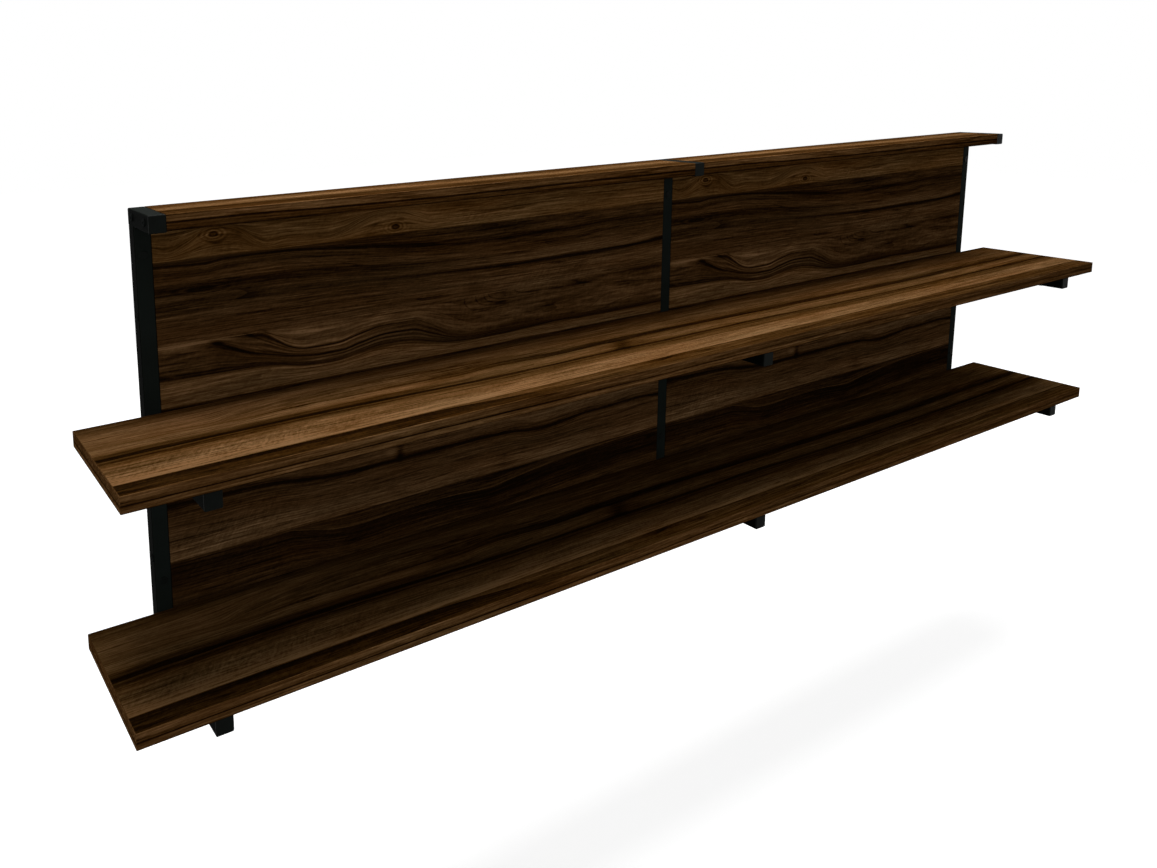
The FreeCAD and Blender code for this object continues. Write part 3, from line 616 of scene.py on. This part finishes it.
def walnut(name, figure, place_on, seed, hues=HUES, richness=RICHNESS, painted_light=None):
    """Walnut with its own figure. place_on makes u, v and w from the place.

    The last argument, where there is one, makes a wire of painted light that is added to the tone."""
    wood = Wood(name, figure, place_on, seed)
    bent, cores, rings = wood.knots()
    shade = wood.marks() + cores + wood.arcs()
    level = wood.straightened(bent)
    tone = wood.tone_across(level)
    if painted_light:
        tone = painted_light(wood) + tone
    broad, streak, fine, hair = (wood.wave(kind, level) for kind in ("broad", "streak", "fine", "hair"))
    pore = wood.between(wood.wave("pore", level, 0), *PORES)
    grain = broad * BROAD + streak * STREAK + fine * FINE + hair * HAIR
    tone = tone + grain * (tone * GRAIN_WITH_TONE + GRAIN_ANYWHERE) + wood.rippled(level)
    tone = tone + wood.nests(level) + rings - wood.years(level)
    tone = tone - pore * PORE_DARK - shade * MARK_DARK
    tone = wood.math("MAXIMUM", wood.math("MINIMUM", tone, 1.0), 0.0)
    wood.set("Base Color", wood.tint(wood.ramp(tone, WALNUT), level, hues, richness))
    smear = wood.wave("smear", wood.v, 0)
    wood.set("Roughness", smear * WOOD_SMEAR + WOOD_ROUGHNESS + pore * PORE_ROUGH)
    wood.set("Specular IOR Level", 0.0)
    wood.bump(fine * 0.5 + streak * 0.5 - pore * PORE_DEEP, WOOD_RELIEF_M, WOOD_RELIEF)
    return wood.material


# The coat, the plastic and the steel: tones from dark to light, sizes of the grain in millimetres, shares in
# the tone, roughness, gloss, and relief in metres and as a strength.
COAT_TONES = [(0.0, (7, 8, 7)), (0.25, (12, 15, 13)), (0.5, (17, 19, 16)), (1.0, (30, 36, 34))]
COAT_PEEL_MM, COAT_GRIT_MM, COAT_PATCH_MM, COAT_DUST_MM = 1.1, 0.35, 60, 14
# The front and side shares are painted light and shade: the tubes' front faces made lighter and their sides
# darker. The dust share is partly real dust on the top faces and partly painted sheen there.
COAT_PATCH, COAT_GRIT, COAT_DUST_AND_SHEEN, COAT_PAINTED_FRONT_LIGHT, COAT_PAINTED_SIDE_SHADE = 0.3, 0.16, 0.6, 0.45, 0.2
COAT_TURNED = 0.4
COAT_ROUGHNESS = 0.62
COAT_RELIEF_M, COAT_RELIEF = 0.00006, 0.6
PLASTIC_TONES = [(0.2, (10, 11, 9)), (0.8, (19, 22, 20))]
PLASTIC_GRAIN_MM, PLASTIC_PATCH_MM = 0.5, 24
PLASTIC_ROUGHNESS, PLASTIC_GLOSS = 0.5, 0.02
PLASTIC_RELIEF_M, PLASTIC_RELIEF = 0.00005, 0.7
STEEL_MARK_MM, STEEL_MARK_LENGTH_MM, STEEL_PATCH_MM = 0.25, 3.0, 7
STEEL_RELIEF_M, STEEL_RELIEF = 0.00003, 0.5
STEEL_GLOSS, BLACK_GLOSS = 0.5, 0.004


def powder_coat(name):
    """Fine matt black powder coat: greyer on top, where it is dusty and where painted sheen lightens it,
    with painted shade on the tubes' sides and painted light on their fronts.
    """
    paper = Paper(name)
    sideways, back, up = paper.coordinates("Normal")
    # Masks of the sides, for painted shade, and of the front faces, for painted light.
    side = paper.between(paper.math("ABSOLUTE", sideways), COAT_TURNED, 1.0)
    front = paper.between(back, -COAT_TURNED, -1.0)
    peel = paper.lumps(COAT_PEEL_MM)
    grit = paper.lumps(COAT_GRIT_MM, detail=1.0)
    patch = paper.lumps(COAT_PATCH_MM, detail=3.0)
    dust_and_sheen = paper.between(up, COAT_TURNED, 1.0) * (paper.lumps(COAT_DUST_MM, detail=4.0) * 0.5 + 0.35)
    # Painted light and shade: front faces lighter, sides darker, and top faces lighter from dust and painted
    # sheen.
    shade = patch * COAT_PATCH + grit * COAT_GRIT + dust_and_sheen * COAT_DUST_AND_SHEEN + front * COAT_PAINTED_FRONT_LIGHT - side * COAT_PAINTED_SIDE_SHADE
    paper.set("Base Color", paper.ramp(shade, COAT_TONES))
    paper.set("Roughness", patch * 0.14 + dust_and_sheen * 0.12 + COAT_ROUGHNESS)
    paper.set("Specular IOR Level", BLACK_GLOSS)
    paper.bump(peel * 0.7 + grit * 0.4, COAT_RELIEF_M, COAT_RELIEF)
    return paper.material


def moulded_plastic(name):
    """Black moulded plastic with a fine eroded grain."""
    paper = Paper(name)
    grain = paper.lumps(PLASTIC_GRAIN_MM)
    patch = paper.lumps(PLASTIC_PATCH_MM, detail=3.0)
    paper.set("Base Color", paper.ramp(patch * 0.7 + grain * 0.3, PLASTIC_TONES))
    paper.set("Roughness", patch * 0.16 + PLASTIC_ROUGHNESS)
    paper.set("Specular IOR Level", PLASTIC_GLOSS)
    paper.bump(grain, PLASTIC_RELIEF_M, PLASTIC_RELIEF)
    return paper.material


def turned_steel(name, dark, light, metallic, roughness, gloss=STEEL_GLOSS):
    """Machined steel with fine turning marks."""
    paper = Paper(name)
    x, y, z = paper.spot
    marks = paper.noise(x / STEEL_MARK_MM, y / STEEL_MARK_LENGTH_MM, z / STEEL_MARK_LENGTH_MM)
    patch = paper.lumps(STEEL_PATCH_MM, detail=3.0)
    paper.set("Base Color", paper.ramp(marks * 0.5 + patch * 0.5, [(0.25, dark), (0.75, light)]))
    paper.set("Metallic", metallic)
    paper.set("Specular IOR Level", gloss)
    paper.set("Roughness", patch * 0.2 + roughness)
    paper.bump(marks, STEEL_RELIEF_M, STEEL_RELIEF)
    return paper.material


def dress(material, nodes):
    for name in nodes:
        mesh = NODES[name].data
        mesh.materials.clear()
        mesh.materials.append(material)


def along_bay(paper, x):
    """Each bay's own length along X, so that both bays show the same figure."""
    right = paper.math("GREATER_THAN", x, 0.0)
    return x - PANEL_LOW.x - right * BAY_PITCH


def on_panel(paper, x, y, z):
    return along_bay(paper, x), PANEL_HIGH.z - z, y


def on_top_board(paper, x, y, z):
    return along_bay(paper, x), TOP_HIGH.y - y, z


def on_top_edge(paper, x, y, z):
    return along_bay(paper, x), TOP_HIGH.z - z, y


def at_end(paper):
    """1 on the shelf's two end faces, 0 on its front."""
    sideways = paper.coordinates("Normal")[0]
    return paper.math("GREATER_THAN", paper.math("ABSOLUTE", sideways), END_FACING)


# Painted light: the shelves' end faces made lighter, as light from the sides would.
def painted_end_light(paper):
    return at_end(paper) * END_PAINTED_LIGHT


def dress_shelf(shelf):
    """Wood for a shelf's board, and for its edge bands, whose grain runs along the depth at the two ends."""
    top = box_mm(f"{shelf}_shelf")[1].z

    def on_shelf(paper, x, y, z):
        return x - BAND_LOW.x, SHELF_HIGH.y - y, z - top

    def on_edge(paper, x, y, z):
        end = at_end(paper)
        along = (x - BAND_LOW.x) * (1.0 - end) + (y * -1.0 + SHELF_LENGTH / 4) * end
        return along, top - z, y

    board = walnut(f"walnut_{shelf}_shelf", SHELF_FIGURE, on_shelf, seed=120.0, hues=SHELF_HUES_WITH_PAINTED_SHADE[shelf])
    dress(board, [f"{shelf}_shelf"])
    # The edge bands' end faces get painted light.
    edge = walnut(f"walnut_{shelf}_edge", SHELF_EDGE_FIGURE, on_edge, seed=163.0, painted_light=painted_end_light)
    dress(edge, [f"{shelf}_shelf_edge_bands"])


panel_wood = walnut("walnut_panel", PANEL_FIGURE, on_panel, seed=2.0, hues=PANEL_HUES,
                    richness=PANEL_RICHNESS)
dress(panel_wood, ["left_back_panel", "right_back_panel"])
top_wood = walnut("walnut_top_board", TOP_FIGURE, on_top_board, seed=51.0)
dress(top_wood, ["left_top_board", "right_top_board"])
top_edge_wood = walnut("walnut_top_edge", TOP_EDGE_FIGURE, on_top_edge, seed=87.0)
dress(top_edge_wood, ["top_board_edge_bands"])
for shelf in ("mid", "lower"):
    dress_shelf(shelf)

SIDES = ("left", "centre", "right")
TUBES = ("upright", "top_arm", "mid_arm", "lower_arm")
coat = powder_coat("black_powder_coat")
dress(coat, [f"{side}_{tube}" for side in SIDES for tube in TUBES])
plastic = moulded_plastic("black_plastic")
dress(plastic, ["mid_arm_caps", "lower_arm_caps", "top_arm_front_caps", "top_arm_rear_caps",
                "upright_foot_caps", "wall_fixing_plugs"])
black_steel = turned_steel("black_bolt_steel", (16, 18, 17), (24, 26, 25), metallic=0.0, roughness=0.62,
                           gloss=BLACK_GLOSS)
dress(black_steel, ["panel_bolts", "top_board_bolts", "mid_shelf_bolts", "lower_shelf_bolts"])
zinc = turned_steel("zinc_plated_steel", (150, 150, 148), (196, 196, 192), metallic=1.0, roughness=0.26)
dress(zinc, ["panel_insert_nuts", "top_board_insert_nuts", "mid_shelf_insert_nuts",
             "lower_shelf_insert_nuts"])
pin_steel = turned_steel("steel_dowel", (120, 120, 122), (168, 168, 170), metallic=1.0, roughness=0.3)
dress(pin_steel, ["panel_dowels", "top_board_dowels"])

# The stage: a pale floor well below the unit, which hangs on a wall. Its glow rises to white with the
# distance from the middle, in metres, and its greys are what other rays and what the camera's rays meet.
FLOOR_DROP = 0.75
FLOOR_HALF = 14.0
FLOOR_GREY, FLOOR_GREY_SEEN = 0.22, 0.6
FLOOR_GLOW = {"From Min": 1.0, "From Max": 7.0, "To Min": 0.74, "To Max": 1.0}
WHITE = (1.0, 1.0, 1.0, 1.0)
DIM_LIGHT = 0.12


def background_rays(tree, rays):
    """1 for the rays that show the background: the camera's, and those that gloss and glass send on."""
    shown = rays.outputs["Is Camera Ray"]
    for kind in ("Is Glossy Ray", "Is Transmission Ray"):
        either = tree.nodes.new("ShaderNodeMath")
        either.operation = "MAXIMUM"
        tree.links.new(shown, either.inputs[0])
        tree.links.new(rays.outputs[kind], either.inputs[1])
        shown = either.outputs[0]
    return shown


def pale_floor():
    """Pale floor. What the camera sees of it is lifted to white, and keeps the soft shadow."""
    material = bpy.data.materials.new("pale_floor")
    material.use_nodes = True
    tree = material.node_tree
    tree.nodes.clear()
    output = tree.nodes.new("ShaderNodeOutputMaterial")
    rays = tree.nodes.new("ShaderNodeLightPath")
    shade = tree.nodes.new("ShaderNodeMix")
    shade.data_type = "RGBA"
    shade.inputs["A"].default_value = (FLOOR_GREY, FLOOR_GREY, FLOOR_GREY, 1.0)
    shade.inputs["B"].default_value = (FLOOR_GREY_SEEN, FLOOR_GREY_SEEN, FLOOR_GREY_SEEN, 1.0)
    matt = tree.nodes.new("ShaderNodeBsdfDiffuse")
    where = tree.nodes.new("ShaderNodeTexCoord")
    far = tree.nodes.new("ShaderNodeVectorMath")
    far.operation = "LENGTH"
    rise = tree.nodes.new("ShaderNodeMapRange")
    rise.interpolation_type = "SMOOTHSTEP"
    for name, value in FLOOR_GLOW.items():
        rise.inputs[name].default_value = value
    seen = tree.nodes.new("ShaderNodeMath")
    seen.operation = "MULTIPLY"
    glow = tree.nodes.new("ShaderNodeEmission")
    glow.inputs["Color"].default_value = WHITE
    both = tree.nodes.new("ShaderNodeAddShader")
    tree.links.new(rays.outputs["Is Camera Ray"], shade.inputs["Factor"])
    tree.links.new(shade.outputs["Result"], matt.inputs["Color"])
    tree.links.new(where.outputs["Object"], far.inputs[0])
    tree.links.new(far.outputs["Value"], rise.inputs["Value"])
    tree.links.new(rise.outputs[0], seen.inputs[0])
    tree.links.new(background_rays(tree, rays), seen.inputs[1])
    tree.links.new(seen.outputs[0], glow.inputs["Strength"])
    tree.links.new(matt.outputs[0], both.inputs[0])
    tree.links.new(glow.outputs[0], both.inputs[1])
    tree.links.new(both.outputs[0], output.inputs["Surface"])
    return material


def make_floor():
    level = CAD_BOX[0].z - FLOOR_DROP
    half = FLOOR_HALF
    corners = [(-half, -half, level), (half, -half, level), (half, half, level), (-half, half, level)]
    mesh = bpy.data.meshes.new("floor")
    mesh.from_pydata(corners, [], [(0, 1, 2, 3)])
    mesh.materials.append(pale_floor())
    floor = bpy.data.objects.new("floor", mesh)
    bpy.context.scene.collection.objects.link(floor)


def make_world():
    """White where the camera looks, and a dim even light elsewhere."""
    world = bpy.data.worlds.new("studio")
    bpy.context.scene.world = world
    world.use_nodes = True
    tree = world.node_tree
    tree.nodes.clear()
    output = tree.nodes.new("ShaderNodeOutputWorld")
    sky = tree.nodes.new("ShaderNodeBackground")
    sky.inputs["Color"].default_value = WHITE
    rays = tree.nodes.new("ShaderNodeLightPath")
    strength = tree.nodes.new("ShaderNodeMapRange")
    strength.inputs["To Min"].default_value = DIM_LIGHT
    tree.links.new(background_rays(tree, rays), strength.inputs["Value"])
    tree.links.new(strength.outputs[0], sky.inputs["Strength"])
    tree.links.new(sky.outputs[0], output.inputs["Surface"])


# Each lamp's place, where it points and its size, in metres, and its power in watts.
LAMPS = {
    "overhead": ((0.0, -0.2, 2.3), (0.0, -0.15, 0.0), (3.8, 1.1), 84),
    "front_fill": ((-1.0, -4.2, 0.3), (0.0, 0.0, 0.0), (4.0, 2.4), 58),
    "left_fill": ((-4.4, -0.2, 0.3), (-1.4, -0.18, 0.0), (1.4, 1.4), 26),
    "right_fill": ((4.4, -0.2, 0.3), (1.4, -0.18, 0.0), (1.4, 1.4), 26),
    "back_fill": ((0.5, 4.2, 0.4), (0.0, 0.0, 0.0), (4.0, 2.4), 46),
}


def softbox(name, location, target, size, power):
    lamp = bpy.data.lights.new(name, "AREA")
    lamp.shape = "RECTANGLE"
    lamp.size, lamp.size_y = size
    lamp.energy = power
    holder = bpy.data.objects.new(name, lamp)
    holder.location = location
    holder.rotation_euler = (Vector(target) - Vector(location)).to_track_quat("-Z", "Y").to_euler()
    bpy.context.scene.collection.objects.link(holder)


make_floor()
make_world()
for lamp_name, settings in LAMPS.items():
    softbox(lamp_name, *settings)

# The camera, where the photograph was taken from, with the photograph's off-centre framing. The place is in
# metres, the angles are in degrees, the lens and the sensor in millimetres, and the shift is a share.
CAMERA_PLACE = (-1.7026, -1.5764, 0.5976)
CAMERA_HEADING = 29.21
CAMERA_PITCH = -9.085
CAMERA_ROLL = -1.378
CAMERA_LENS = 29.02
CAMERA_SENSOR = 36.0
CAMERA_SHIFT = (0.19, -0.1825)
CAMERA_NEAREST = 0.05


def make_camera():
    lens = bpy.data.cameras.new("camera")
    lens.lens = CAMERA_LENS
    lens.sensor_width = CAMERA_SENSOR
    lens.shift_x, lens.shift_y = CAMERA_SHIFT
    lens.clip_start = CAMERA_NEAREST
    holder = bpy.data.objects.new("camera", lens)
    holder.location = CAMERA_PLACE
    level = Euler((math.radians(90 + CAMERA_PITCH), 0.0, math.radians(-CAMERA_HEADING)), "XYZ")
    turn = level.to_matrix() @ Euler((0.0, 0.0, math.radians(CAMERA_ROLL)), "XYZ").to_matrix()
    holder.rotation_euler = turn.to_euler()
    bpy.context.scene.collection.objects.link(holder)
    bpy.context.scene.camera = holder


make_camera()
bpy.context.scene.view_settings.view_transform = "Standard"
